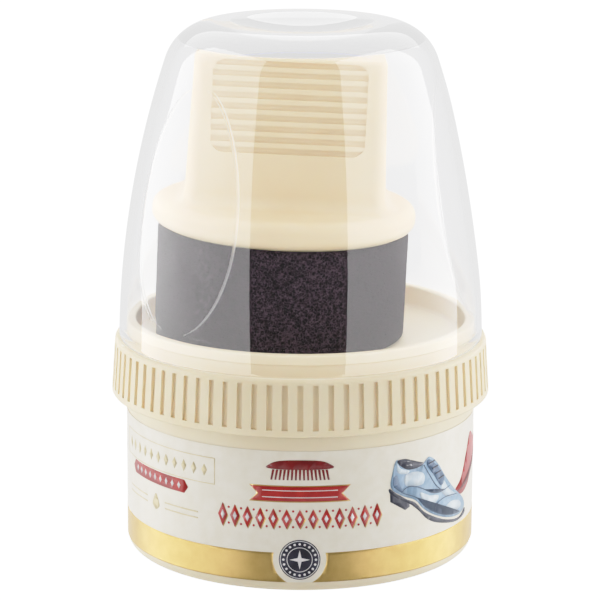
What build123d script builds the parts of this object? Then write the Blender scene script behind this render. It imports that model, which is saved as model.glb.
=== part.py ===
from build123d import *

import os
from math import atan, cos, degrees, pi, radians, sin, sqrt, tan

# Shoe cream jar with a screw cap, a sponge applicator that stands in the cap, and a
# clear cover.  Millimetres, +Z up, +X to the right and -Y to the front.
# The origin is the centre of the circle that the jar stands on.

os.makedirs("parts", exist_ok=True)

# ---------------------------------------------------------------- jar
jar_radius = 28.6
jar_corner = 1.8
jar_shoulder_fillet = 0.4
jar_shoulder_z = 25.8
neck_radius = 27.6
mouth_z = 32.8
bore_radius = 26.3
floor_radius = 25.9
floor_z = 1.8
floor_fillet = 2.0
foot_width = 1.6
foot_recess = 0.5
foot_inner_radius = jar_radius - jar_corner - foot_width
level_tolerance = 0.01

# ---------------------------------------------------------------- thread, right-handed
thread_pitch = 3.2
jar_thread_turns = 0.9
cap_thread_turns = 1.1
ridge_base = 1.6
ridge_crest = 0.8
ridge_height = 1.1
ridge_root = 0.3
jar_thread_z = 28.9
cap_thread_z = jar_thread_z - thread_pitch / 2

# ---------------------------------------------------------------- label, cream and seals
label_thickness = 0.1
label_bottom_z = 1.85
label_top_z = 23.4
cream_top_z = 29.2
cream_dish = 0.6
bore_draft = (bore_radius - floor_radius) / (mouth_z - floor_z)
cream_radius = floor_radius + bore_draft * (cream_top_z - floor_z)
cream_dish_radius = (cream_radius**2 + cream_dish**2) / (2 * cream_dish)
foil_thickness = 0.1
foil_margin = 0.2
foil_radius = neck_radius - foil_margin
liner_radius = 27.4
liner_thickness = 0.9
liner_round = 0.15
seat_gap = 0.05

# ---------------------------------------------------------------- screw cap
cap_bottom_z = 26.2
cap_shoulder_z = 35.35
cap_bottom_radius = 31.1
cap_top_radius = 30.5
cap_bore_radius = 29.1
cap_plate = cap_shoulder_z - (mouth_z + foil_thickness + liner_thickness + 2 * seat_gap)
cap_edge_fillet = 0.5
cap_bottom_fillet = 0.3
skirt_taper = degrees(atan((cap_bottom_radius - cap_top_radius) / (cap_shoulder_z - cap_bottom_z)))
groove_count = 80
groove_width = 0.93
groove_depth = 0.55
groove_bottom_z = 27.3
groove_top_z = 34.5
groove_cut = 2.0
groove_floor_radius = (cap_bottom_radius + cap_top_radius) / 2 - groove_depth
collar_inner_radius = 27.0
collar_neck_radius = 28.0
collar_lip_radius = 28.55
collar_lip_z = 37.4
collar_undercut = 0.35
collar_top_z = 38.9
collar_draft = 0.15
collar_fillet = 0.35
recess_fillet = 0.5

# ---------------------------------------------------------------- applicator, leaning in the cap
lean = radians(2.4)
applicator_foot_x = -3.57
sponge_gap = 0.1
sponge_radius = 20.4
sponge_reach = 36.8
flange_height = 18.4
flange_radius = 21.4
flange_thickness = 4.4
flange_round = 1.9
glue_thickness = 0.2
glue_margin = 0.8
grip_height = 47.2
grip_bottom_width = 32.4
grip_top_width = 30.3
grip_bottom_depth = 21.0
grip_top_depth = 19.2
grip_corner = 2.2
grip_wall = 1.5
grip_edge_fillet = 0.8
grip_root_fillet = 2.4
grip_root_band = 1.0
flange_top_z = cap_shoulder_z + flange_height + flange_thickness
panel_width = 24.4
panel_corner = 2.2
panel_depth = 0.6
panel_centre = 39.2
panel_grooves = 9
panel_groove = 0.95
panel_ridge = 0.8
panel_ridge_height = 0.45
panel_height = panel_grooves * panel_groove + (panel_grooves - 1) * panel_ridge

# ---------------------------------------------------------------- clear cover
cover_base_z = cap_shoulder_z + seat_gap
cover_base_radius = 29.83
cover_wall = 1.0
cover_top_z = 87.0
cover_shoulder_radius = 20.0
cover_side_radius = 156.0
cover_shoulder_fillet = 8.5
bead_height = 0.12
bead_z = 36.5
bead_width = 1.0
bead_root = 0.3
facet_count = 3
facet_first = -134.0
facet_offset = 8.0
facet_reach = 20.0
facet_depth = 0.48
facet_low_z = 40.0
facet_high_z = 79.0
facet_mid_z = (facet_low_z + facet_high_z) / 2
dish_radius = 11.2
dish_depth = 1.8
dish_blend = 4.0
dish_sphere = (dish_radius**2 + dish_depth**2) / (2 * dish_depth)
ceiling_z = 83.9
gate_radius = 0.7
gate_height = 0.25


def cover_radius(z):
    """Radius of the cover's bowed side at height z."""
    run = cover_base_radius - cover_shoulder_radius
    climb = cover_top_z - cover_base_z
    chord = sqrt(run**2 + climb**2)
    sag = sqrt(cover_side_radius**2 - chord**2 / 4)
    centre_r = (cover_base_radius + cover_shoulder_radius) / 2 - sag * climb / chord
    centre_z = (cover_base_z + cover_top_z) / 2 - sag * run / chord
    return centre_r + sqrt(cover_side_radius**2 - (z - centre_z) ** 2)


facet_low_radius = cover_radius(facet_low_z)
facet_mid_radius = cover_radius(facet_mid_z) - facet_depth
facet_high_radius = cover_radius(facet_high_z)

# The applicator's own upright frame: its origin is where its axis meets the recess floor.
applicator = Plane(
    origin=(applicator_foot_x, 0, cap_shoulder_z),
    x_dir=(cos(lean), 0, -sin(lean)),
    z_dir=(sin(lean), 0, cos(lean)),
)



def ridge_plane(radius, height):
    """Plane square to the thread's helix where it starts, with its x axis pointing outwards."""
    return Plane((radius, 0, height), x_dir=(1, 0, 0), z_dir=(0, 2 * pi * radius, thread_pitch))


def level(shape, z):
    """The circular edges of a shape that lie at height z, smallest first."""
    circles = shape.edges().filter_by(GeomType.CIRCLE)
    near = circles.filter_by_position(Axis.Z, z - level_tolerance, z + level_tolerance)
    return near.sort_by(SortBy.RADIUS)


def panel_plane(side):
    """Plane on the grip's front (side -1) or back (side 1) face, at the panel's centre."""
    rise = grip_height - flange_height - flange_thickness / 2
    slope = atan((grip_bottom_depth - grip_top_depth) / 2 / rise)
    depth = grip_top_depth / 2 + (grip_height - panel_centre) * tan(slope)
    return Plane(
        origin=applicator.from_local_coords(Vector(0, side * depth, panel_centre)),
        x_dir=applicator.x_dir,
        z_dir=applicator.z_dir * sin(slope) + applicator.y_dir * (side * cos(slope)),
    )


def cover_solid(inset):
    """The cover's outside shape moved inwards by an inset, with its facets cut away."""
    with BuildPart() as shape:
        with BuildSketch(Plane.XZ):
            with BuildLine():
                foot = (cover_base_radius - inset, cover_base_z)
                corner = (cover_shoulder_radius - inset, cover_top_z - inset)
                RadiusArc(foot, corner, -cover_side_radius)
                Polyline(corner, (0, cover_top_z - inset), (0, cover_base_z), foot)
            corner_vertex = make_face().vertices().group_by(Axis.Y)[-1].sort_by(Axis.X)[-1]
            fillet(corner_vertex, cover_shoulder_fillet - inset)
        revolve(axis=Axis.Z)
        for index in range(facet_count):
            azimuth = radians(facet_first + index * 360 / facet_count)
            outward = Vector(cos(azimuth), sin(azimuth), 0)
            pivot = outward * -facet_offset
            with BuildSketch(Plane(pivot, x_dir=outward, z_dir=outward.cross(Vector(0, 0, 1)))):
                with BuildLine():
                    low = (facet_low_radius - inset + facet_offset, facet_low_z)
                    middle = (facet_mid_radius - inset + facet_offset, facet_mid_z)
                    high = (facet_high_radius - inset + facet_offset, facet_high_z)
                    ThreePointArc(low, middle, high)
                    Polyline(high, (high[0] + facet_reach, high[1]), (low[0] + facet_reach, low[1]), low)
                make_face()
            revolve(axis=Axis(pivot, (0, 0, 1)), mode=Mode.SUBTRACT)
    return shape.part


def cover_cavity():
    """The room inside the cover, below its flat ceiling."""
    with BuildPart() as room:
        add(cover_solid(cover_wall))
        split(bisect_by=Plane.XY.offset(ceiling_z), keep=Keep.BOTTOM)
    return room.part


# ================================================================ jar body
# Revolved wall with a foot ring, then the outside thread on its neck.
with BuildPart() as jar:
    with BuildSketch(Plane.XZ):
        with BuildLine():
            Polyline(
                (0, foot_recess),
                (foot_inner_radius, foot_recess),
                (foot_inner_radius + foot_recess, 0),
                (jar_radius, 0),
                (jar_radius, jar_shoulder_z),
                (neck_radius, jar_shoulder_z),
                (neck_radius, mouth_z),
                (bore_radius, mouth_z),
                (floor_radius, floor_z),
                (0, floor_z),
                close=True,
            )
        make_face()
    revolve(axis=Axis.Z)
    fillet(level(jar, 0)[-1], jar_corner)
    fillet(level(jar, floor_z), floor_fillet)
    fillet(level(jar, jar_shoulder_z)[-1], jar_shoulder_fillet)
    with BuildLine():
        Helix(thread_pitch, jar_thread_turns * thread_pitch, neck_radius, (0, 0, jar_thread_z))
    with BuildSketch(ridge_plane(neck_radius, jar_thread_z)):
        Polygon(
            (-ridge_root, -ridge_base / 2),
            (ridge_height, -ridge_crest / 2),
            (ridge_height, ridge_crest / 2),
            (-ridge_root, ridge_base / 2),
            align=None,
        )
    sweep(is_frenet=True)
jar.part.label = "jar"
export_step(jar.part, "parts/jar.step")


# ================================================================ wrap label
# A printed film that wraps the jar's straight wall.
with BuildPart() as wrap_label:
    with BuildSketch(Plane.XY.offset(label_bottom_z)):
        Circle(jar_radius + label_thickness)
        Circle(jar_radius, mode=Mode.SUBTRACT)
    extrude(amount=label_top_z - label_bottom_z)
wrap_label.part.label = "wrap_label"
export_step(wrap_label.part, "parts/wrap_label.step")


# ================================================================ cream
# The fill follows the bore, and its top is slightly dished.
with BuildPart() as cream_fill:
    with BuildSketch(Plane.XZ):
        with BuildLine():
            middle = (0, cream_top_z - cream_dish)
            rim = (cream_radius, cream_top_z)
            Polyline(middle, (0, floor_z), (floor_radius, floor_z), rim)
            RadiusArc(rim, middle, cream_dish_radius)
        make_face()
    revolve(axis=Axis.Z)
    fillet(level(cream_fill, floor_z), floor_fillet)
cream_fill.part.label = "cream_fill"
export_step(cream_fill.part, "parts/cream_fill.step")


# ================================================================ foil seal on the jar's mouth
with BuildPart() as foil_seal:
    with BuildSketch(Plane.XY.offset(mouth_z)):
        Circle(foil_radius)
    extrude(amount=foil_thickness)
foil_seal.part.label = "foil_seal"
export_step(foil_seal.part, "parts/foil_seal.step")


# ================================================================ liner wad, loose in the cap
with BuildPart() as liner_wad:
    with BuildSketch(Plane.XY.offset(mouth_z + foil_thickness + seat_gap)):
        Circle(liner_radius)
    extrude(amount=liner_thickness)
    fillet(liner_wad.edges().filter_by(GeomType.CIRCLE), liner_round)
liner_wad.part.label = "liner_wad"
export_step(liner_wad.part, "parts/liner_wad.step")


# ================================================================ screw cap
# Ribbed skirt, top plate, and the collar that holds the sponge and centres the cover.
with BuildPart() as screw_cap:
    with BuildSketch(Plane.XZ):
        with BuildLine():
            Polyline(
                (0, cap_shoulder_z - cap_plate),
                (cap_bore_radius, cap_shoulder_z - cap_plate),
                (cap_bore_radius, cap_bottom_z),
                (cap_bottom_radius, cap_bottom_z),
                (cap_top_radius, cap_shoulder_z),
                (collar_neck_radius, cap_shoulder_z),
                (collar_neck_radius, collar_lip_z - collar_undercut),
                (collar_lip_radius, collar_lip_z),
                (collar_lip_radius, collar_top_z),
                (collar_inner_radius, collar_top_z),
                (collar_inner_radius - collar_draft, cap_shoulder_z),
                (0, cap_shoulder_z),
                close=True,
            )
        make_face()
    revolve(axis=Axis.Z)
    fillet(level(screw_cap, cap_bottom_z)[-1], cap_bottom_fillet)
    fillet(level(screw_cap, cap_shoulder_z)[-1], cap_edge_fillet)
    fillet(level(screw_cap, cap_shoulder_z)[0], recess_fillet)
    fillet(level(screw_cap, collar_top_z), collar_fillet)
    with Locations((0, 0, (groove_bottom_z + groove_top_z) / 2)):
        with PolarLocations(groove_floor_radius, groove_count, start_angle=-90):
            Box(
                groove_cut,
                groove_width,
                groove_top_z - groove_bottom_z,
                rotation=(0, -skirt_taper, 0),
                align=(Align.MIN, Align.CENTER, Align.CENTER),
                mode=Mode.SUBTRACT,
            )
    with BuildLine():
        Helix(thread_pitch, cap_thread_turns * thread_pitch, cap_bore_radius, (0, 0, cap_thread_z))
    with BuildSketch(ridge_plane(cap_bore_radius, cap_thread_z)):
        Polygon(
            (ridge_root, -ridge_base / 2),
            (-ridge_height, -ridge_crest / 2),
            (-ridge_height, ridge_crest / 2),
            (ridge_root, ridge_base / 2),
            align=None,
        )
    sweep(is_frenet=True)
screw_cap.part.label = "screw_cap"
export_step(screw_cap.part, "parts/screw_cap.step")


# ================================================================ applicator handle
# A round flange that backs the sponge, and a hollow tapered grip with a ribbed panel
# on its front and back.
with BuildPart() as applicator_handle:
    with BuildSketch(applicator.offset(flange_height)):
        Circle(flange_radius)
    extrude(amount=flange_thickness)
    fillet(applicator_handle.edges().filter_by(GeomType.CIRCLE), flange_round)
    with BuildSketch(applicator.offset(flange_height + flange_thickness / 2)):
        RectangleRounded(grip_bottom_width, grip_bottom_depth, grip_corner)
    with BuildSketch(applicator.offset(grip_height)):
        RectangleRounded(grip_top_width, grip_top_depth, grip_corner)
    loft()
    fillet(applicator_handle.faces().sort_by(Axis.Z)[-1].edges(), grip_edge_fillet)
    root = applicator_handle.edges().filter_by(GeomType.BSPLINE)
    low, high = flange_top_z - grip_root_band, flange_top_z + grip_root_band
    fillet(root.filter_by_position(Axis.Z, low, high), grip_root_fillet)
    with BuildSketch(applicator.offset(flange_height)):
        RectangleRounded(
            grip_bottom_width - 2 * grip_wall, grip_bottom_depth - 2 * grip_wall, grip_corner / 2
        )
    with BuildSketch(applicator.offset(grip_height - grip_wall)):
        RectangleRounded(
            grip_top_width - 2 * grip_wall, grip_top_depth - 2 * grip_wall, grip_corner / 2
        )
    loft(mode=Mode.SUBTRACT)
    for side in (-1, 1):
        with BuildSketch(panel_plane(side)):
            RectangleRounded(panel_width, panel_height, panel_corner)
        extrude(amount=-panel_depth, mode=Mode.SUBTRACT)
        with BuildSketch(panel_plane(side).offset(-panel_depth)):
            RectangleRounded(panel_width, panel_height, panel_corner)
            with GridLocations(0, panel_groove + panel_ridge, 1, panel_grooves):
                Rectangle(panel_width, panel_groove, mode=Mode.SUBTRACT)
        extrude(amount=panel_ridge_height)
applicator_handle.part.label = "applicator_handle"
export_step(applicator_handle.part, "parts/applicator_handle.step")


# ================================================================ glue between flange and sponge
with BuildPart() as glue_disc:
    with BuildSketch(applicator.offset(flange_height - glue_thickness)):
        Circle(sponge_radius - glue_margin)
    extrude(amount=glue_thickness)
glue_disc.part.label = "glue_disc"
export_step(glue_disc.part, "parts/glue_disc.step")


# ================================================================ sponge
# It stands flat on the recess floor while the handle leans, so it is a little wedge-shaped.
with BuildPart() as sponge:
    with BuildSketch(applicator.offset(flange_height - glue_thickness)):
        Circle(sponge_radius)
    extrude(amount=-sponge_reach)
    split(bisect_by=Plane.XY.offset(cap_shoulder_z + sponge_gap), keep=Keep.TOP)
sponge.part.label = "sponge"
export_step(sponge.part, "parts/sponge.step")


# ================================================================ clear cover
# A thin bowed dome.  Three shallow leaf-shaped facets flatten its side, its top is dished
# over a flat ceiling, and a snap bead runs round the inside of its foot.
with BuildPart() as clear_cover:
    add(cover_solid(0))
    with BuildSketch(Plane.XZ):
        with BuildLine():
            pit = (0, cover_top_z - dish_depth)
            rim = (dish_radius, cover_top_z)
            Polyline(pit, (0, cover_top_z), rim)
            RadiusArc(rim, pit, dish_sphere)
        make_face()
    revolve(axis=Axis.Z, mode=Mode.SUBTRACT)
    fillet(level(clear_cover, cover_top_z)[0], dish_blend)
    add(cover_cavity(), mode=Mode.SUBTRACT)
    with BuildSketch(Plane.XZ):
        with Locations((cover_base_radius - cover_wall, bead_z)):
            Polygon((bead_root, bead_width), (-bead_height, 0), (bead_root, -bead_width), align=None)
    revolve(axis=Axis.Z)
    with BuildSketch(Plane.XY.offset(cover_top_z - dish_depth - gate_height)):
        Circle(gate_radius)
    extrude(amount=2 * gate_height)
clear_cover.part.label = "clear_cover"
export_step(clear_cover.part, "parts/clear_cover.step")
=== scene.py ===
"""Looks of the shoe cream jar: camera, studio, materials and the pieces that the CAD frame keeps plain.

Blender works in metres here.  Lengths below are written in millimetres and turned into metres by MM.
"""
import math

import bmesh
import bpy
from mathutils import Matrix, Vector, noise


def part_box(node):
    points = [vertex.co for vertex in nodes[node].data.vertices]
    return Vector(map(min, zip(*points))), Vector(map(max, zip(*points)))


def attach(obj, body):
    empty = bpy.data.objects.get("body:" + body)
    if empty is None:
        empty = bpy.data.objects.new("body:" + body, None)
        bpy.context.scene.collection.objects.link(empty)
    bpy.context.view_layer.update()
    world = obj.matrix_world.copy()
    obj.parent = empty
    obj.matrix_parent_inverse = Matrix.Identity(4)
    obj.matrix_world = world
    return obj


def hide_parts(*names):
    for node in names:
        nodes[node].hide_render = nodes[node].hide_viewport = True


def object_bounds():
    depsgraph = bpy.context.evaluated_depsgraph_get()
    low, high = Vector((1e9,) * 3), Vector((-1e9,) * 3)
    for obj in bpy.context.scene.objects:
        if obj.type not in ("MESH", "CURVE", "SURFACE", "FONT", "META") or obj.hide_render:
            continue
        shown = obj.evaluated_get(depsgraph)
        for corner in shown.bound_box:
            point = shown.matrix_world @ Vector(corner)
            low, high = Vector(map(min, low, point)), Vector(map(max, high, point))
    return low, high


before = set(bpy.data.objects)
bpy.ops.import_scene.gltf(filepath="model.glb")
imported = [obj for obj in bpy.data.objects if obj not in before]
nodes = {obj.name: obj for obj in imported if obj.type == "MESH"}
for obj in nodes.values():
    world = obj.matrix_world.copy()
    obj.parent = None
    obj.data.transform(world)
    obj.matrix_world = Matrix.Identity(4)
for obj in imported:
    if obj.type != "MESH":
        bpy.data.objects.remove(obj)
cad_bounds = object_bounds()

MM = 0.001


# ---------------------------------------------------------------- small helpers
def srgb(red, green, blue):
    """An 8-bit display colour as the linear RGBA that shaders take."""
    linear = []
    for value in (red, green, blue):
        share = value / 255
        linear.append(share / 12.92 if share <= 0.04045 else ((share + 0.055) / 1.055) ** 2.4)
    return (*linear, 1.0)


def add_object(name, mesh):
    """Links a new mesh object into the scene."""
    piece = bpy.data.objects.new(name, mesh)
    bpy.context.scene.collection.objects.link(piece)
    return piece


def mesh_object(name, points, faces):
    """A smooth-shaded mesh object from points in millimetres."""
    mesh = bpy.data.meshes.new(name)
    mesh.from_pydata([Vector(point) * MM for point in points], [], faces)
    mesh.validate()
    mesh.polygons.foreach_set("use_smooth", [True] * len(mesh.polygons))
    return add_object(name, mesh)


# ---------------------------------------------------------------- camera
CAMERA_DISTANCE = 500.0
CAMERA_LENS = 182.5
CAMERA_ELEVATION = math.radians(13.54)
CAMERA_ROLL = math.radians(0.25)
CAMERA_AIM = Vector((-0.12, 0.0, 40.9))


def make_camera():
    """A long lens at the level of the cover, a little above the object."""
    camera = bpy.data.objects.new("camera", bpy.data.cameras.new("camera"))
    bpy.context.scene.collection.objects.link(camera)
    back = Vector((0, -math.cos(CAMERA_ELEVATION), math.sin(CAMERA_ELEVATION)))
    camera.location = (CAMERA_AIM + back * CAMERA_DISTANCE) * MM
    upright = (-back).to_track_quat("-Z", "Y").to_matrix()
    camera.rotation_euler = (upright @ Matrix.Rotation(CAMERA_ROLL, 3, "Z")).to_euler()
    camera.data.sensor_width = 36
    camera.data.lens = CAMERA_LENS
    camera.data.clip_start = 0.01
    camera.data.clip_end = 20
    bpy.context.scene.camera = camera


# ---------------------------------------------------------------- studio
SHOULDER = ((0.45, 0.45), (0.8, 0.71), (1.2, 0.87), (1.7, 1.0))
SOFTBOX_DISTANCE = 0.8
SOFTBOX_SIZE = (1.5, 1.5)
COVER_SOFTBOX_SIZE = (1.5, 3.0)
BODY_AZIMUTHS = (-83.0, 82.0)
BODY_RADIANCE = 1.2
COVER_AZIMUTHS = (-76.0, 73.0)
COVER_LEAN = 12.0
COVER_RADIANCE = 4.2
# Cards: azimuth and elevation in degrees, distance and size in metres, radiance.
BACK_CARD = (180, 20, 1.2, (2.4, 1.2), 0.7)
TOP_CARD = (180, 80, 1.0, (1.2, 1.2), 0.5)
TOP_MIRROR = (180, 57, 1.0, (1.6, 1.2), 1.5)
VIOLET_FRINGE = (0, 89.5, 1.0, (1.6, 0.05), 3.0)
FRINGE_COLOUR = (0.2, 0.25, 1.0)
FRONT_CARD = (0, 45, 1.0, (0.8, 0.8), 0.86)
FLOOR_GLINT = (0, 0, 0.045, (0.05, 0.03), 0.3)
# The room runs from dark in front of the object to pale behind it.
WORLD_FADE = (-0.5, 0.3)
WORLD_FRONT = 0.1
WORLD_BACK = 1.1
FLOOR_RADIUS = 4.0
FLOOR_WHITE = 1.8
FLOOR_THROUGH_COVER = 1.2
FLOOR_FADE = (-0.2, 0.1)
FLOOR_MIRRORED_FRONT = 0.1
FLOOR_MIRRORED_BEHIND = 1.1


def make_card(name, azimuth, elevation, distance, size, radiance, rule, lean=0.0):
    """A rectangular light that faces the object.  Azimuth 0 is the camera's side, 90 the right.

    Only the cover mirrors its cards sharply, so only those are found by bounced rays.
    """
    width, height = size
    light = bpy.data.lights.new(name, "AREA")
    light.shape = "RECTANGLE"
    light.size = width
    light.size_y = height
    light.energy = radiance * math.pi * width * height
    light.cycles.use_multiple_importance_sampling = rule.name == "only_cover"
    card = bpy.data.objects.new(name, light)
    bpy.context.scene.collection.objects.link(card)
    turn = math.radians(azimuth)
    rise = math.radians(elevation)
    towards = Vector((math.sin(turn) * math.cos(rise), -math.cos(turn) * math.cos(rise), math.sin(rise)))
    middle = (cad_bounds[0] + cad_bounds[1]) / 2
    card.location = middle + towards * distance
    facing = (-towards).to_track_quat("-Z", "Y").to_matrix()
    card.rotation_euler = (facing @ Matrix.Rotation(math.radians(lean), 3, "Z")).to_euler()
    card.visible_camera = False
    card.visible_transmission = False
    card.light_linking.receiver_collection = rule
    return card


def light_rule(name, member, state):
    """A collection that lets lights reach one object only, or leave it out."""
    rule = bpy.data.collections.new(name)
    rule.objects.link(member)
    rule.collection_objects[0].light_linking.link_state = state
    return rule


def develop():
    """Plain display colours with a camera's soft shoulder in the highlights."""
    view = bpy.context.scene.view_settings
    view.view_transform = "Standard"
    view.use_curve_mapping = True
    mapping = view.curve_mapping
    mapping.clip_max_x = SHOULDER[-1][0]
    curve = mapping.curves[3]
    curve.points[0].location = (0, 0)
    curve.points[1].location = SHOULDER[-1]
    for spot in SHOULDER[:-1]:
        curve.points.new(*spot)
    mapping.update()


def make_studio(cover):
    """Softboxes beside the object, cards behind, above and in front, and a pale floor.

    The clear cover has its own set of cards, so its reflections can be placed without lighting the rest.
    """
    rest = light_rule("not_cover", cover, "EXCLUDE")
    only = light_rule("only_cover", cover, "INCLUDE")
    for azimuth in BODY_AZIMUTHS:
        make_card("body_softbox", azimuth, 0, SOFTBOX_DISTANCE, SOFTBOX_SIZE, BODY_RADIANCE, rest)
    for azimuth, lean in zip(COVER_AZIMUTHS, (COVER_LEAN, -COVER_LEAN)):
        box = (azimuth, 0, SOFTBOX_DISTANCE, COVER_SOFTBOX_SIZE, COVER_RADIANCE)
        make_card("cover_softbox", *box, only, lean)
    make_card("back_card", *BACK_CARD, rest)
    make_card("top_card", *TOP_CARD, rest)
    make_card("top_mirror", *TOP_MIRROR, only)
    make_card("violet_fringe", *VIOLET_FRINGE, only).data.color = FRINGE_COLOUR
    make_card("front_card", *FRONT_CARD, rest).visible_glossy = False
    glint = make_card("floor_glint", *FLOOR_GLINT, rest)
    glint.location.z = MM
    glint.rotation_euler = (math.pi, 0, 0)
    glint.visible_diffuse = False
    world = bpy.data.worlds.new("studio")
    world.use_nodes = True
    room = world.node_tree
    direction = node(room, "ShaderNodeSeparateXYZ")
    room.links.new(node(room, "ShaderNodeTexCoord").outputs["Generated"], direction.inputs["Vector"])
    strength = fade(room, direction.outputs["Y"], WORLD_FADE, WORLD_FRONT, WORLD_BACK)
    room.nodes["Background"].inputs["Color"].default_value = (1, 1, 1, 1)
    room.links.new(strength, room.nodes["Background"].inputs["Strength"])
    bpy.context.scene.world = world
    develop()
    bm = bmesh.new()
    bmesh.ops.create_circle(bm, cap_ends=True, segments=96, radius=FLOOR_RADIUS)
    mesh = bpy.data.meshes.new("floor")
    bm.to_mesh(mesh)
    bm.free()
    floor = add_object("floor", mesh)
    floor.data.materials.append(floor_material())
    floor.visible_glossy = False
    floor.visible_shadow = False


# ---------------------------------------------------------------- materials
FULL_SPAN = (0.0, 1.0)
PLASTIC_INDEX = 1.49
CLEAR_INDEX = 1.52
CLEAR_TINT = (0.985, 0.985, 0.99, 1)
CLEAR_SHADE = (0.945, 0.945, 0.95, 1)
CREASE_FROST = 0.6
CREASE_GLINT = 0.022
# Glow of the cover's wall where rays keep bouncing in it: painted light, not a lamp.
TRAPPED_LIGHT = 0.85
TRAPPED_BOUNCES = 1.5


def new_material(name):
    """A node material, with its tree and its Principled shader."""
    material = bpy.data.materials.new(name)
    material.use_nodes = True
    tree = material.node_tree
    return material, tree, tree.nodes["Principled BSDF"]


def node(tree, kind, **settings):
    """Adds a node and sets inputs by name; property names start with an underscore."""
    made = tree.nodes.new(kind)
    for key, value in settings.items():
        if key.startswith("_"):
            setattr(made, key[1:], value)
        else:
            made.inputs[key.replace("_", " ")].default_value = value
    return made


def object_noise(tree, scale, detail=4.0, roughness=0.5):
    """Noise fixed to the object's own coordinates; scale is in waves per metre."""
    place = node(tree, "ShaderNodeTexCoord")
    grain = node(tree, "ShaderNodeTexNoise", Scale=scale, Detail=detail, Roughness=roughness)
    tree.links.new(place.outputs["Object"], grain.inputs["Vector"])
    return grain.outputs["Fac"]


def two_tone(tree, factor, low, high, start=0.35, end=0.65):
    """A colour that runs from low to high as factor passes from start to end."""
    ramp = node(tree, "ShaderNodeValToRGB")
    ramp.color_ramp.elements[0].position = start
    ramp.color_ramp.elements[0].color = low
    ramp.color_ramp.elements[1].position = end
    ramp.color_ramp.elements[1].color = high
    tree.links.new(factor, ramp.inputs["Fac"])
    return ramp.outputs["Color"]


def fade(tree, factor, span, low, high):
    """A number that runs from low to high as factor crosses a span."""
    spread = node(tree, "ShaderNodeMapRange", From_Min=span[0], From_Max=span[1], To_Min=low, To_Max=high)
    tree.links.new(factor, spread.inputs["Value"])
    return spread.outputs["Result"]


def math_node(tree, operation, first, second):
    """The result of a sum on one or two sockets; second may be a plain number."""
    made = node(tree, "ShaderNodeMath", _operation=operation)
    tree.links.new(first, made.inputs[0])
    if isinstance(second, float):
        made.inputs[1].default_value = second
    else:
        tree.links.new(second, made.inputs[1])
    return made.outputs["Value"]


def mixed(tree, share, plain, other):
    """A surface that is other where share is 1, and plain where it is 0."""
    mixer = node(tree, "ShaderNodeMixShader")
    tree.links.new(share, mixer.inputs["Fac"])
    tree.links.new(plain, mixer.inputs[1])
    tree.links.new(other, mixer.inputs[2])
    return mixer.outputs["Shader"]


def bump(tree, shader, height, depth_mm):
    """Fine relief of the given depth on a shader's normal."""
    relief = node(tree, "ShaderNodeBump", Strength=1.0, Distance=depth_mm * MM)
    tree.links.new(height, relief.inputs["Height"])
    tree.links.new(relief.outputs["Normal"], shader.inputs["Normal"])


def floor_material():
    """Pale paper: pure white where it is seen plainly, greyer through the cover.

    What the cover mirrors of it is dark in front and pale behind.
    """
    material, tree, shader = new_material("floor_paper")
    cloud = object_noise(tree, 3.0)
    paper = two_tone(tree, cloud, srgb(190, 190, 190), srgb(194, 194, 194))
    tree.links.new(paper, shader.inputs["Base Color"])
    shader.inputs["Roughness"].default_value = 0.9
    shader.inputs["Specular IOR Level"].default_value = 0.1
    path = node(tree, "ShaderNodeLightPath").outputs
    unscattered = math_node(tree, "LESS_THAN", path["Diffuse Depth"], 0.5)
    seen_through = math_node(tree, "MULTIPLY", unscattered, path["Is Transmission Ray"])
    mirrored = math_node(tree, "GREATER_THAN", path["Glossy Depth"], 0.5)
    place = node(tree, "ShaderNodeSeparateXYZ")
    tree.links.new(node(tree, "ShaderNodeTexCoord").outputs["Object"], place.inputs["Vector"])
    depth = fade(tree, place.outputs["Y"], FLOOR_FADE, FLOOR_MIRRORED_FRONT, FLOOR_MIRRORED_BEHIND)
    greyer = node(tree, "ShaderNodeEmission", Strength=FLOOR_THROUGH_COVER)
    mirror = node(tree, "ShaderNodeEmission")
    tree.links.new(depth, mirror.inputs["Strength"])
    white = node(tree, "ShaderNodeEmission", Strength=FLOOR_WHITE)
    surface = shader.outputs["BSDF"]
    for share, glow in ((seen_through, greyer), (mirrored, mirror), (path["Is Camera Ray"], white)):
        surface = mixed(tree, share, surface, glow.outputs["Emission"])
    tree.links.new(surface, tree.nodes["Material Output"].inputs["Surface"])
    return material


def moulded_plastic(name, low, high, roughness, glow=0.25):
    """Satin moulded plastic: faint colour drift, a soft grain, and light that goes in a little."""
    material, tree, shader = new_material(name)
    drift = object_noise(tree, 90.0, 3.0)
    grain = object_noise(tree, 2600.0, 2.0)
    tree.links.new(two_tone(tree, drift, low, high), shader.inputs["Base Color"])
    gloss = fade(tree, drift, FULL_SPAN, roughness - 0.04, roughness + 0.05)
    tree.links.new(gloss, shader.inputs["Roughness"])
    shader.inputs["Subsurface Weight"].default_value = glow
    shader.inputs["Subsurface Radius"].default_value = (1.0, 0.72, 0.45)
    shader.inputs["Subsurface Scale"].default_value = 1.6 * MM
    shader.inputs["IOR"].default_value = PLASTIC_INDEX
    bump(tree, shader, grain, 0.004)
    return material


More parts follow.
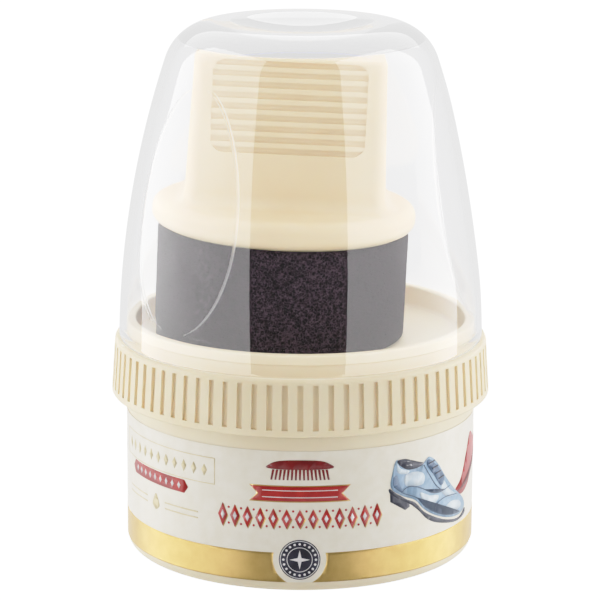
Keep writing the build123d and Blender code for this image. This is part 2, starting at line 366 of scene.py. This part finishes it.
def clear_plastic():
    """Clear moulded polystyrene, faintly frosted along its creases.

    Lamps shine through it to what it covers; where rays keep bouncing inside its wall, the wall glows pale,
    painted light in place of the room those rays would reach.
    """
    material, tree, shader = new_material("clear_plastic")
    shader.inputs["Base Color"].default_value = CLEAR_TINT
    shader.inputs["IOR"].default_value = CLEAR_INDEX
    shader.inputs["Transmission Weight"].default_value = 1.0
    bump(tree, shader, object_noise(tree, 60.0, 2.0), 0.01)
    crease = node(tree, "ShaderNodeAttribute", _attribute_name="crease")
    apart = node(tree, "ShaderNodeMath", _operation="ABSOLUTE")
    tree.links.new(crease.outputs["Fac"], apart.inputs[0])
    frost = fade(tree, apart.outputs["Value"], (0.0, CREASE_GLINT), CREASE_FROST, 0.0)
    tree.links.new(frost, shader.inputs["Roughness"])
    opening = node(tree, "ShaderNodeBsdfTransparent", Color=CLEAR_SHADE)
    # Painted glow: after two or more glossy bounces the wall shines pale, though it is no lamp.
    trapped_ray_glow = node(tree, "ShaderNodeEmission", Strength=TRAPPED_LIGHT)
    path = node(tree, "ShaderNodeLightPath").outputs
    deep = math_node(tree, "GREATER_THAN", path["Glossy Depth"], TRAPPED_BOUNCES)
    surface = mixed(tree, deep, shader.outputs["BSDF"], trapped_ray_glow.outputs["Emission"])
    surface = mixed(tree, path["Is Shadow Ray"], surface, opening.outputs["BSDF"])
    tree.links.new(surface, tree.nodes["Material Output"].inputs["Surface"])
    return material


def foam():
    """Dark open-cell foam: pale fibres, with the pits between them painted near black as shade in the
    cells.
    """
    material, tree, shader = new_material("sponge_foam")
    place = node(tree, "ShaderNodeTexCoord")
    wander = node(tree, "ShaderNodeTexNoise", Scale=900.0, Detail=3.0)
    tree.links.new(place.outputs["Object"], wander.inputs["Vector"])
    shift = node(tree, "ShaderNodeVectorMath", _operation="MULTIPLY_ADD")
    shift.inputs[1].default_value = (0.0012, 0.0012, 0.0012)
    tree.links.new(wander.outputs["Color"], shift.inputs[0])
    tree.links.new(place.outputs["Object"], shift.inputs[2])
    cells = node(tree, "ShaderNodeTexVoronoi", Scale=2100.0, _feature="DISTANCE_TO_EDGE")
    tree.links.new(shift.outputs["Vector"], cells.inputs["Vector"])
    speckle = object_noise(tree, 1500.0, 4.0, 0.7)
    web = math_node(tree, "SUBTRACT", speckle, cells.outputs["Distance"])
    # Painted shade: the cells' middles are near black, the fibres round them paler.
    fibres_and_shaded_pits = two_tone(tree, web, srgb(13, 7, 12), srgb(92, 74, 87), 0.28, 0.7)
    tree.links.new(fibres_and_shaded_pits, shader.inputs["Base Color"])
    shader.inputs["Roughness"].default_value = 0.9
    shader.inputs["Specular IOR Level"].default_value = 0.15
    bump(tree, shader, web, 0.3)
    return material


def printed_ink(name, low, high, roughness=0.3, metal=0.0):
    """Ink or foil on the label's laminated film."""
    material, tree, shader = new_material(name)
    drift = object_noise(tree, 500.0, 4.0)
    tree.links.new(two_tone(tree, drift, low, high), shader.inputs["Base Color"])
    gloss = fade(tree, drift, FULL_SPAN, roughness - 0.05, roughness + 0.07)
    tree.links.new(gloss, shader.inputs["Roughness"])
    shader.inputs["Metallic"].default_value = metal
    shader.inputs["Coat Weight"].default_value = 0.4
    shader.inputs["Coat Roughness"].default_value = 0.18
    return material


def dress(node_name, material):
    """Gives a CAD node its finished material."""
    slots = nodes[node_name].data.materials
    slots.clear()
    slots.append(material)


# ---------------------------------------------------------------- clear cover
COVER_WALL = 1.0
COVER_SHOULDER_RADIUS = 20.0
COVER_SIDE_RADIUS = 156.0
COVER_SHOULDER_FILLET = 8.5
DISH_RADIUS = 11.2
DISH_DEPTH = 1.8
DISH_BLEND = 0.6
CEILING_BELOW_TOP = 3.1
CEILING_CORNER = 0.12
GATE_RADIUS = 0.7
GATE_HEIGHT = 0.25
BEAD_RISE = 1.1
BEAD_REACH = 0.4
BEAD_DEPTH = 0.12
FACET_AZIMUTHS = (-134.0, -14.0, 106.0)
FACET_OFFSET = 8.0
FACET_DEPTH = 0.48
FACET_LOW_RISE = 4.6
FACET_HIGH_RISE = 43.6
CREASE_SOFTNESS = 0.035
COVER_COLUMNS = 480


def revolve(name, profile, columns, dent):
    """A closed body of revolution from (radius, height) points that start and end on the axis.

    dent(height, azimuth) gives how far the surface is pushed in there, and a number that is 0 on a crease.
    """
    points = []
    rows = []
    creases = []
    for radius, height in profile:
        rows.append(len(points))
        if radius == 0:
            points.append((0, 0, height))
            creases.append(1)
            continue
        for column in range(columns):
            azimuth = 2 * math.pi * column / columns
            depth, crease = dent(height, azimuth)
            reach = radius - depth
            points.append((reach * math.cos(azimuth), reach * math.sin(azimuth), height))
            creases.append(crease)
    faces = []
    for index in range(len(profile) - 1):
        upper, lower = rows[index], rows[index + 1]
        upper_step = 0 if profile[index][0] == 0 else 1
        lower_step = 0 if profile[index + 1][0] == 0 else 1
        for column in range(columns):
            after = (column + 1) % columns
            corners = [lower + lower_step * column, lower + lower_step * after]
            corners += [upper + upper_step * after, upper + upper_step * column]
            faces.append(list(dict.fromkeys(corners)))
    shell = mesh_object(name, points, faces)
    shell.data.attributes.new("crease", "FLOAT", "POINT").data.foreach_set("value", creases)
    return shell


def arc_points(centre, radius, start, end, count):
    """Points on an arc in the (radius, height) plane, angles in radians from the outward axis."""
    turn = [start + (end - start) * step / count for step in range(count + 1)]
    return [(centre[0] + radius * math.cos(angle), centre[1] + radius * math.sin(angle)) for angle in turn]


def make_cover():
    """The clear dome: one closed wall, with its facets, gate mark, rounded foot and snap bead."""
    low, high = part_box("clear_cover")
    base = low.z / MM
    foot_radius = high.x / MM
    top = high.z / MM
    pit = top - DISH_DEPTH
    run = foot_radius - COVER_SHOULDER_RADIUS
    climb = top - base
    chord = math.hypot(run, climb)
    sag = math.sqrt(COVER_SIDE_RADIUS**2 - chord**2 / 4)
    centre = (
        (foot_radius + COVER_SHOULDER_RADIUS) / 2 - sag * climb / chord,
        (base + top) / 2 - sag * run / chord,
    )

    def side_radius(height):
        return centre[0] + math.sqrt(COVER_SIDE_RADIUS**2 - (height - centre[1]) ** 2)

    def dent(height, azimuth):
        """Depth of the nearest facet, with its creases a little softened."""
        middle = base + (FACET_LOW_RISE + FACET_HIGH_RISE) / 2
        reach = (FACET_HIGH_RISE - FACET_LOW_RISE) / 2
        along = (height - middle) / reach
        if abs(along) > 1:
            return 0, 1
        outer = side_radius(height)
        flat = outer - FACET_DEPTH * (1 - along**2) + FACET_OFFSET
        turns = [azimuth - math.radians(turn) for turn in FACET_AZIMUTHS]
        aside = min(abs(math.remainder(turn, 2 * math.pi)) for turn in turns)
        cut = math.sqrt(flat**2 - (FACET_OFFSET * math.sin(aside)) ** 2) - FACET_OFFSET * math.cos(aside)
        share = min(max(0.5 + 0.5 * (outer - cut) / CREASE_SOFTNESS, 0), 1)
        away = (outer - cut) / max(1 - along**4, 0.02)
        return share * (outer - cut) + CREASE_SOFTNESS * share * (1 - share), away

    def dish():
        """The dished top, from the gate mark to the flat ring round it."""
        sphere = (DISH_RADIUS**2 + DISH_DEPTH**2) / (2 * DISH_DEPTH)
        inner, outer = DISH_RADIUS - DISH_BLEND, DISH_RADIUS + DISH_BLEND
        bowl = []
        for step in range(2, 13):
            radius = inner * step / 12
            bowl.append((radius, pit + sphere - math.sqrt(sphere**2 - radius**2)))
        rim = bowl[-1][1]
        for step in range(1, 5):
            share = step / 4
            near = (1 - share) ** 2
            middle = 2 * share * (1 - share)
            radius = near * inner + middle * DISH_RADIUS + share**2 * outer
            bowl.append((radius, near * rim + (1 - near) * top))
        return bowl

    def wall(inset):
        """One face of the wall from the axis down to the foot."""
        fillet = COVER_SHOULDER_FILLET - inset
        middle_z = top - COVER_SHOULDER_FILLET
        span = COVER_SIDE_RADIUS - COVER_SHOULDER_FILLET
        middle_r = centre[0] + math.sqrt(span**2 - (middle_z - centre[1]) ** 2)
        meet = math.asin((middle_z - centre[1]) / span)
        foot = math.asin((base - centre[1]) / (COVER_SIDE_RADIUS - inset))
        side = arc_points(centre, COVER_SIDE_RADIUS - inset, meet, foot, 72)
        if inset == 0:
            return dish() + arc_points((middle_r, middle_z), fillet, math.pi / 2, meet, 20) + side[1:-1]
        start = math.asin((top - CEILING_BELOW_TOP - middle_z) / fillet)
        shoulder = arc_points((middle_r, middle_z), fillet, start, meet, 16)
        corner, rise = shoulder[0]
        ceiling = [(corner * step / 6, rise) for step in range(1, 6)] + [(corner - CEILING_CORNER, rise)]
        return ceiling + shoulder + side[1:-1]

    gate_top = pit + GATE_HEIGHT
    gate = [(0, gate_top), (GATE_RADIUS * 0.5, gate_top - 0.05)]
    gate += [(GATE_RADIUS, pit + 0.05), (GATE_RADIUS * 1.4, pit)]
    outside = wall(0)
    inside = wall(COVER_WALL)
    inner_foot = foot_radius - COVER_WALL
    bead = [
        (inner_foot, base + BEAD_RISE - BEAD_REACH),
        (inner_foot - BEAD_DEPTH, base + BEAD_RISE),
        (inner_foot, base + BEAD_RISE + BEAD_REACH),
    ]
    foot = [
        (foot_radius, base + 0.3),
        (foot_radius - 0.1, base + 0.08),
        (foot_radius - 0.3, base),
        (inner_foot + 0.2, base),
        (inner_foot, base + 0.2),
    ]
    outside = [point for point in outside if point[1] > base + 0.4]
    inside = [point for point in inside if point[1] > base + 1.7]
    profile = gate + outside + foot + bead + inside[::-1] + [(0, top - CEILING_BELOW_TOP)]
    cover = revolve("cover_shell", profile, COVER_COLUMNS, dent)
    cover.data.materials.append(clear_plastic())
    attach(cover, "cover")
    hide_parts("clear_cover")
    return cover


# ---------------------------------------------------------------- sponge
APPLICATOR_LEAN = math.radians(2.4)
APPLICATOR_FOOT = Vector((-3.57, 0, 35.35))
SPONGE_RADIUS = 20.4
SPONGE_CLEARANCE = 0.1
SPONGE_ROUND = 0.7
SPONGE_COLUMNS = 440
SPONGE_STEP = 0.3
SPONGE_PORE = 0.5
SPONGE_RELIEF = 0.2


def make_sponge():
    """The foam disc, cut level below and leaning with the handle above, with open cells all over."""
    axis = Vector((math.sin(APPLICATOR_LEAN), 0, math.cos(APPLICATOR_LEAN)))
    side = Vector((math.cos(APPLICATOR_LEAN), 0, -math.sin(APPLICATOR_LEAN)))
    top = max((vertex.co / MM - APPLICATOR_FOOT).dot(axis) for vertex in nodes["sponge"].data.vertices)
    corner = SPONGE_RADIUS - SPONGE_ROUND
    rings = [(SPONGE_STEP * step, 0.0) for step in range(1, int(corner / SPONGE_STEP) + 1)]
    rings += arc_points((corner, SPONGE_ROUND), SPONGE_ROUND, -math.pi / 2, 0, 4)
    wall_steps = int((top - 2 * SPONGE_ROUND) / SPONGE_STEP)
    wall = top - 2 * SPONGE_ROUND
    rings += [(SPONGE_RADIUS, SPONGE_ROUND + wall * step / wall_steps) for step in range(1, wall_steps)]
    rings += arc_points((corner, top - SPONGE_ROUND), SPONGE_ROUND, 0, math.pi / 2, 3)
    points = []
    for radius, height in [(0.0, 0.0)] + rings + [(0.0, top)]:
        columns = 1 if radius == 0 else SPONGE_COLUMNS
        for column in range(columns):
            azimuth = 2 * math.pi * column / SPONGE_COLUMNS
            x = radius * math.cos(azimuth)
            foot = (SPONGE_CLEARANCE + x * math.sin(APPLICATOR_LEAN)) / math.cos(APPLICATOR_LEAN)
            rise = foot + height * (top - foot) / top
            place = APPLICATOR_FOOT + side * x + axis * rise
            points.append((place.x, radius * math.sin(azimuth), place.z))
    faces = []
    last = len(points) - 1
    for column in range(SPONGE_COLUMNS):
        after = (column + 1) % SPONGE_COLUMNS
        faces.append([0, 1 + after, 1 + column])
        for ring in range(len(rings) - 1):
            near = 1 + ring * SPONGE_COLUMNS
            far = near + SPONGE_COLUMNS
            faces.append([near + column, near + after, far + after, far + column])
        faces.append([last - SPONGE_COLUMNS + column, last - SPONGE_COLUMNS + after, last])
    piece = mesh_object("sponge_disc", points, faces)
    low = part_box("sponge")[0]
    outward = [vertex.normal.copy() for vertex in piece.data.vertices]
    for vertex, normal in zip(piece.data.vertices, outward):
        place = vertex.co / (SPONGE_PORE * MM)
        cell = noise.noise(place) + 0.6 * noise.noise(place * 2.1)
        vertex.co -= normal * (max(cell, -0.1) + 0.1) * SPONGE_RELIEF * MM
        vertex.co.z = max(vertex.co.z, low.z)
    piece.data.materials.append(foam())
    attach(piece, "applicator")
    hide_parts("sponge")


# ---------------------------------------------------------------- label print
PRINT_LAYER = 0.02
PRINT_FACET = 1.2
GOLD_TOP = 6.7
MEDALLION_Z = 5.6
MEDALLION_CLEAR = 4.25
MEDALLION_RADIUS = 3.3


def applied(piece):
    """Turns a piece's modifiers into its mesh."""
    graph = bpy.context.evaluated_depsgraph_get()
    mesh = bpy.data.meshes.new_from_object(piece.evaluated_get(graph))
    piece.modifiers.clear()
    piece.data = mesh


def smooth_outline(points, steps=6, closed=True):
    """A Catmull-Rom curve through (u, v) points."""
    count = len(points)
    spans = range(count if closed else count - 1)
    curve = []
    for index in spans:
        if closed:
            a, b, c, d = (Vector(points[(index + shift) % count]) for shift in (-1, 0, 1, 2))
        else:
            a, b, c, d = (Vector(points[min(max(index + shift, 0), count - 1)]) for shift in (-1, 0, 1, 2))
        bend = 2 * a - 5 * b + 4 * c - d
        twist = 3 * b - a - 3 * c + d
        for step in range(steps):
            t = step / steps
            curve.append(0.5 * (2 * b + (c - a) * t + bend * t**2 + twist * t**3))
    if not closed:
        curve.append(Vector(points[-1]))
    return [tuple(point) for point in curve]


def disc_outline(centre, radius, steps):
    """Points round a disc."""
    return [
        (
            centre[0] + radius * math.cos(2 * math.pi * step / steps),
            centre[1] + radius * math.sin(2 * math.pi * step / steps),
        )
        for step in range(steps)
    ]


def box_outline(left, low, right, high):
    """The four corners of an upright box."""
    return [(left, low), (right, low), (right, high), (left, high)]


class Print:
    """Flat artwork bent round the jar: u is along the wrap from its front, v is up, in millimetres."""

    def __init__(self):
        low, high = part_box("wrap_label")
        self.radius = high.x / MM
        self.low = low.z / MM
        self.high = high.z / MM
        self.points = []
        self.faces = []
        self.inks = []
        self.materials = []

    def lay(self, outline, ink, layer=1):
        """Lays one closed outline down in an ink, in front of lower layers."""
        if ink not in self.materials:
            self.materials.append(ink)
        bm = bmesh.new()
        bm.faces.new([bm.verts.new((u, v, 0)) for u, v in outline])
        bmesh.ops.triangulate(bm, faces=bm.faces[:])
        left = min(u for u, v in outline)
        right = max(u for u, v in outline)
        for step in range(math.floor(left / PRINT_FACET) + 1, math.ceil(right / PRINT_FACET)):
            parts = bm.verts[:] + bm.edges[:] + bm.faces[:]
            bmesh.ops.bisect_plane(bm, geom=parts, plane_co=(step * PRINT_FACET, 0, 0), plane_no=(1, 0, 0))
        bm.normal_update()
        start = len(self.points)
        bm.verts.index_update()
        reach = self.radius + layer * PRINT_LAYER
        for vertex in bm.verts:
            turn = vertex.co.x / self.radius
            height = min(max(vertex.co.y, self.low), self.high)
            self.points.append((reach * math.sin(turn), -reach * math.cos(turn), height))
        for face in bm.faces:
            corners = [start + vertex.index for vertex in face.verts]
            self.faces.append(corners if face.normal.z > 0 else corners[::-1])
            self.inks.append(self.materials.index(ink))
        bm.free()

    def stroke(self, path, width, ink, layer=1):
        """Lays a line of even width along an open path."""
        sides = ([], [])
        for index, point in enumerate(path):
            before = Vector(path[max(index - 1, 0)])
            after = Vector(path[min(index + 1, len(path) - 1)])
            along = (after - before).normalized()
            across = Vector((-along.y, along.x)) * width / 2
            sides[0].append(tuple(Vector(point) + across))
            sides[1].append(tuple(Vector(point) - across))
        self.lay(sides[1] + sides[0][::-1], ink, layer)

    def frame(self, left, low, right, high, width, ink, layer=1):
        """Lays a thin rectangular frame."""
        self.lay(box_outline(left, low, right, low + width), ink, layer)
        self.lay(box_outline(left, high - width, right, high), ink, layer)
        self.lay(box_outline(left, low + width, left + width, high - width), ink, layer)
        self.lay(box_outline(right - width, low + width, right, high - width), ink, layer)

    def ring(self, centre, radius, width, ink, layer=1, steps=48):
        """Lays a ring as two half bands."""
        for start in (0, math.pi):
            band = []
            for reach, order in ((radius, 1), (radius - width, -1)):
                half = [start + math.pi * step / (steps // 2) for step in range(steps // 2 + 1)][::order]
                band += [(centre[0] + reach * math.cos(t), centre[1] + reach * math.sin(t)) for t in half]
            self.lay(band, ink, layer)

    def finish(self):
        """Makes the printed object, with the film's real thickness behind each shape."""
        piece = mesh_object("label_print", self.points, self.faces)
        for ink in self.materials:
            piece.data.materials.append(ink)
        piece.data.polygons.foreach_set("material_index", self.inks)
        thick = piece.modifiers.new("film", "SOLIDIFY")
        thick.thickness = PRINT_LAYER * MM * 0.9
        thick.offset = -1
        applied(piece)
        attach(piece, "jar")


def draw_gold_band(sheet, gold):
    """The foil band round the label's foot, open in front where the medallion sits."""
    half_turn = math.pi * sheet.radius
    rise = GOLD_TOP - MEDALLION_Z
    drop = sheet.low - MEDALLION_Z
    for side in (1, -1):
        first = math.asin(rise / MEDALLION_CLEAR)
        last = math.asin(drop / MEDALLION_CLEAR)
        bay = [first + (last - first) * step / 12 for step in range(13)]
        notch = [
            (side * MEDALLION_CLEAR * math.cos(t), MEDALLION_Z + MEDALLION_CLEAR * math.sin(t)) for t in bay
        ]
        sheet.lay(notch + [(side * half_turn, sheet.low), (side * half_turn, GOLD_TOP)], gold)


def draw_medallion(sheet, dark, pale):
    """A dark round seal with a ring of dots round a four-pointed gleam."""
    centre = (0, MEDALLION_Z)
    sheet.lay(disc_outline(centre, MEDALLION_RADIUS, 48), dark, 1)
    sheet.ring(centre, MEDALLION_RADIUS - 0.18, 0.1, pale, 2)
    sheet.ring(centre, 2.05, 0.1, pale, 2)
    for step in range(20):
        turn = 2 * math.pi * step / 20
        dot = (2.58 * math.cos(turn), MEDALLION_Z + 2.58 * math.sin(turn))
        sheet.lay(disc_outline(dot, 0.2, 10), pale, 2)
    gleam = []
    for step in range(8):
        reach = 1.6 if step % 2 == 0 else 0.42
        turn = math.pi * step / 4
        gleam.append((reach * math.cos(turn), MEDALLION_Z + reach * math.sin(turn)))
    sheet.lay(gleam, pale, 2)


def draw_emblem(sheet, red, dark_red, gold, pale):
    """A brush over a straight ribbon, with a row of lozenges below in place of any name."""
    ribbon = [(-7.9, 15.2), (-6.6, 16.4), (-7.9, 17.6), (7.9, 17.6), (6.6, 16.4), (7.9, 15.2)]
    sheet.lay([(x * 1.03, 16.4 + (y - 16.4) * 1.14) for x, y in ribbon], gold, 1)
    sheet.lay(ribbon, red, 2)
    sheet.stroke([(-6.0, 16.95), (6.0, 16.95)], 0.12, pale, 3)
    sheet.stroke([(-6.0, 15.85), (6.0, 15.85)], 0.12, pale, 3)
    block = [(-4.6, 20.5), (-4.7, 21.3), (-2.6, 21.9), (2.6, 21.9), (4.7, 21.3), (4.6, 20.5)]
    sheet.lay(smooth_outline(block, 5), dark_red, 2)
    for step in range(15):
        root = -4.2 + 0.6 * step
        tip = root * 1.08
        tuft = [(root - 0.2, 20.4), (tip - 0.14, 18.7), (tip + 0.14, 18.7), (root + 0.2, 20.4)]
        sheet.lay(tuft, dark_red, 2)
    for step in range(-6, 7):
        size = 1.6 + 0.055 * abs(step)
        x = step * 2.1
        lozenge = [(x - 0.82, 12.3), (x, 12.3 - size), (x + 0.82, 12.3), (x, 12.3 + size)]
        sheet.lay([(u + 0.14, v - 0.14) for u, v in lozenge], gold, 1)
        sheet.lay(lozenge, red, 2)
        sheet.lay([(x + (u - x) * 0.4, 12.3 + (v - 12.3) * 0.4) for u, v in lozenge], pale, 3)
        if step < 6:
            for height in (-1.3, 1.3):
                sheet.lay(disc_outline((x + 1.05, 12.3 + height), 0.2, 8), red, 2)


def draw_left_panel(sheet, pale_gold, red, pale):
    """Thin framed box, a red bar, and a drop between fine rules."""
    sheet.frame(-38.5, 16.9, -14.0, 21.3, 0.14, pale_gold)
    for step in range(11):
        x = -36.6 + 2.06 * step
        sheet.lay([(x - 0.55, 19.1), (x, 18.1), (x + 0.55, 19.1), (x, 20.1)], pale_gold)
    bar = [(-34.4, 14.5), (-20.0, 14.5), (-19.2, 15.6), (-20.0, 16.7), (-34.4, 16.7), (-35.2, 15.6)]
    sheet.lay(bar, red, 1)
    for step in range(9):
        x = -33.2 + 1.5 * step
        sheet.lay([(x - 0.35, 15.6), (x, 15.0), (x + 0.35, 15.6), (x, 16.2)], pale, 2)
    drop = [(-27.0, 12.9), (-26.2, 11.6), (-26.1, 10.8), (-27.0, 10.2), (-27.9, 10.8), (-27.8, 11.6)]
    sheet.lay(smooth_outline(drop), pale_gold, 1)
    for low in (10.9, 11.9):
        sheet.stroke([(-37.0, low), (-29.6, low)], 0.22, pale_gold)
        sheet.stroke([(-24.6, low), (-17.2, low)], 0.22, pale_gold)


def draw_shoe(sheet, inks):
    """A pale blue lace-up shoe seen from above its side, toe down to the right."""

    def put(points, ink, layer, steps=5):
        sheet.lay(smooth_outline(points, steps), inks[ink], layer)

    def line(points, width, ink, layer):
        sheet.stroke(smooth_outline(points, 5, closed=False), width, inks[ink], layer)

    sheet.lay([(14.9, 16.0), (18.7, 13.6), (18.8, 12.6), (17.9, 12.2), (15.0, 14.0)], inks["sole"], 1)
    sole = [
        (14.9, 16.2), (17.2, 14.4), (19.9, 13.1), (21.9, 11.2), (24.8, 9.6), (28.4, 8.3),
        (32.3, 7.7), (34.8, 8.6), (34.6, 7.6), (31.0, 7.3), (25.8, 8.4), (22.8, 9.7),
        (20.5, 11.8), (18.6, 13.2), (16.4, 14.4), (14.9, 15.4),
    ]
    put(sole, "sole", 2)
    upper = [
        (16.1, 20.8), (15.3, 18.5), (15.1, 16.3), (17.2, 14.7), (19.9, 13.5), (21.9, 11.6),
        (24.6, 10.0), (28.3, 8.7), (32.2, 8.2), (34.5, 8.9), (33.7, 10.6), (30.2, 13.1),
        (27.3, 15.9), (25.0, 18.7), (23.0, 20.1), (21.6, 19.3), (19.6, 18.8), (17.6, 19.5),
    ]
    put(upper, "blue", 3)
    mouth = [
        (16.2, 20.6), (17.8, 20.7), (20.1, 19.9), (21.7, 19.3), (20.2, 18.8), (18.2, 18.9),
        (16.8, 19.7),
    ]
    put(mouth, "sole", 4)
    put([(16.2, 20.1), (17.0, 19.2), (18.5, 18.7), (18.2, 18.2), (16.4, 18.6)], "gleam", 4)
    put([(15.5, 17.9), (16.2, 18.2), (16.7, 16.6), (17.6, 15.2), (15.6, 16.4)], "shade", 4)
    put([(17.9, 18.0), (20.2, 18.2), (21.8, 17.4), (21.6, 15.9), (19.4, 15.9), (17.8, 16.4)], "gleam", 4)
    put([(20.9, 14.5), (23.2, 13.6), (25.4, 13.1), (24.6, 11.9), (22.6, 11.6)], "gleam", 4)
    put([(26.8, 15.3), (28.3, 13.6), (30.4, 12.2), (28.2, 12.2), (26.2, 13.6)], "gleam", 4)
    put([(27.2, 10.4), (29.2, 11.2), (32.0, 10.6), (32.8, 9.5), (30.2, 9.2)], "gleam", 4)
    put([(21.6, 12.4), (24.6, 10.6), (28.4, 9.2), (32.0, 8.8), (28.4, 9.8), (25.0, 11.2)], "shade", 4)
    put([(22.9, 19.7), (24.7, 18.4), (26.9, 15.9), (26.1, 14.6), (24.3, 16.6), (22.4, 18.9)], "shade", 4)
    welt = [
        (15.6, 16.5), (17.4, 15.1), (20.1, 13.9), (22.2, 11.9), (25.0, 10.3), (28.4, 9.1),
        (32.4, 8.6),
    ]
    line(welt, 0.14, "line", 5)
    seam = [(17.0, 15.3), (18.5, 16.0), (20.9, 15.4), (23.6, 14.0), (26.0, 13.6), (28.6, 14.0)]
    line(seam, 0.14, "line", 5)
    line([(24.4, 10.6), (25.0, 11.8), (27.4, 12.4), (31.2, 12.0)], 0.14, "line", 5)
    line([(21.7, 19.0), (22.9, 17.3), (24.5, 15.2), (26.2, 13.8)], 0.16, "line", 5)
    for step in range(4):
        x = 22.8 + 0.85 * step
        y = 19.0 - 1.02 * step
        line([(x, y), (x + 1.5, y + 0.25)], 0.22, "sole", 6)


def draw_pump(sheet, red, dark_red):
    """A red court shoe that runs round to the label's side."""
    body = [
        (30.4, 12.4), (33.0, 14.2), (35.4, 17.8), (37.4, 20.6), (39.2, 20.2), (41.0, 19.2), (44.0, 20.0),
        (46.6, 21.4), (47.6, 19.6), (46.6, 17.0), (43.6, 16.0), (40.0, 15.0), (36.6, 12.4), (33.4, 11.4),
    ]
    sheet.lay(smooth_outline(body, 5), red, 1)
    sheet.lay([(46.0, 17.4), (47.4, 18.2), (47.9, 10.6), (47.2, 10.6)], dark_red, 1)
    seam = smooth_outline([(31.0, 12.1), (36.4, 13.0), (40.2, 15.6), (46.2, 17.4)], closed=False)
    sheet.stroke(seam, 0.28, dark_red, 2)


def draw_back(sheet, film, pale_gold, grey):
    """The back: a framed panel of plain rules, and the strip where the wrap overlaps itself."""
    half_turn = math.pi * sheet.radius
    sheet.lay(box_outline(half_turn - 5.0, GOLD_TOP, half_turn, sheet.high), film, 2)
    for side in (-1, 1):
        near, far = sorted((side * 56.0, side * 80.0))
        sheet.frame(near, 9.4, far, 21.3, 0.14, pale_gold)
        for step in range(6):
            short = 6.0 if step == 5 else 0.0
            height = 19.6 - 1.7 * step
            sheet.stroke([(near + 1.6, height), (far - 1.6 - short, height)], 0.3, grey)


def make_label():
    """Prints the wrap: foil band, seal, emblem, panels and pictures."""
    film = printed_ink("label_film", srgb(236, 229, 212), srgb(241, 235, 221), 0.32)
    gold = printed_ink("gold_foil", srgb(212, 175, 101), srgb(222, 187, 113), 0.34, metal=0.9)
    pale_gold = printed_ink("pale_gold_ink", srgb(219, 203, 158), srgb(228, 213, 172))
    red = printed_ink("red_ink", srgb(160, 26, 26), srgb(186, 40, 34))
    dark_red = printed_ink("dark_red_ink", srgb(104, 16, 20), srgb(130, 24, 26))
    dark = printed_ink("seal_ink", srgb(26, 24, 38), srgb(44, 42, 62))
    pale = printed_ink("pale_ink", srgb(222, 220, 222), srgb(236, 234, 234))
    grey = printed_ink("grey_ink", srgb(168, 164, 160), srgb(182, 178, 172))
    shoe = {
        "blue": printed_ink("shoe_blue_ink", srgb(128, 160, 192), srgb(164, 190, 216)),
        "shade": printed_ink("shoe_shade_ink", srgb(84, 108, 140), srgb(106, 130, 160)),
        "gleam": printed_ink("shoe_gleam_ink", srgb(196, 214, 230), srgb(224, 234, 242)),
        "line": printed_ink("shoe_line_ink", srgb(60, 80, 108), srgb(78, 98, 126)),
        "sole": printed_ink("shoe_sole_ink", srgb(44, 46, 62), srgb(66, 68, 84)),
    }
    dress("wrap_label", film)
    sheet = Print()
    draw_gold_band(sheet, gold)
    draw_medallion(sheet, dark, pale)
    draw_emblem(sheet, red, dark_red, gold, pale)
    draw_left_panel(sheet, pale_gold, red, pale)
    draw_shoe(sheet, shoe)
    draw_pump(sheet, red, dark_red)
    draw_back(sheet, film, pale_gold, grey)
    sheet.finish()


# ---------------------------------------------------------------- CAD nodes that keep their shape
def soft_solid(name, low, high, roughness, scale, depth_mm):
    """A matt stuff with its own grain: cream, liner foam or dried glue."""
    material, tree, shader = new_material(name)
    grain = object_noise(tree, scale, 5.0)
    tree.links.new(two_tone(tree, grain, low, high), shader.inputs["Base Color"])
    gloss = fade(tree, grain, FULL_SPAN, roughness - 0.1, roughness + 0.1)
    tree.links.new(gloss, shader.inputs["Roughness"])
    bump(tree, shader, grain, depth_mm)
    return material


def embossed_foil():
    """Heat-seal foil with a pressed dot grid."""
    material, tree, shader = new_material("foil")
    place = node(tree, "ShaderNodeTexCoord")
    dots = node(tree, "ShaderNodeTexVoronoi", Scale=700.0, Randomness=0.15)
    tree.links.new(place.outputs["Object"], dots.inputs["Vector"])
    shader.inputs["Metallic"].default_value = 1.0
    spacing = dots.outputs["Distance"]
    colour = two_tone(tree, spacing, srgb(186, 186, 190), srgb(216, 216, 218))
    tree.links.new(colour, shader.inputs["Base Color"])
    tree.links.new(fade(tree, spacing, FULL_SPAN, 0.28, 0.42), shader.inputs["Roughness"])
    bump(tree, shader, spacing, 0.08)
    return material


def dress_frame():
    """Gives every CAD node that shows its finished material."""
    mouldings = (
        ("jar", "jar_plastic", (240, 226, 196), (244, 231, 203), 0.36),
        ("screw_cap", "cap_plastic", (241, 224, 190), (245, 229, 197), 0.38),
        ("applicator_handle", "handle_plastic", (237, 215, 177), (242, 221, 185), 0.4),
    )
    for node_name, name, low, high, roughness in mouldings:
        dress(node_name, moulded_plastic(name, srgb(*low), srgb(*high), roughness))
    stuffs = (
        ("cream_fill", "cream", (236, 228, 204), (243, 236, 216), 0.5, 220.0, 0.15),
        ("liner_wad", "liner_foam", (240, 240, 236), (248, 248, 246), 0.7, 1800.0, 0.08),
        ("glue_disc", "glue", (214, 200, 160), (226, 214, 180), 0.35, 400.0, 0.1),
    )
    for node_name, name, low, high, *finish in stuffs:
        dress(node_name, soft_solid(name, srgb(*low), srgb(*high), *finish))
    dress("foil_seal", embossed_foil())


make_camera()
dress_frame()
make_label()
make_sponge()
make_studio(make_cover())
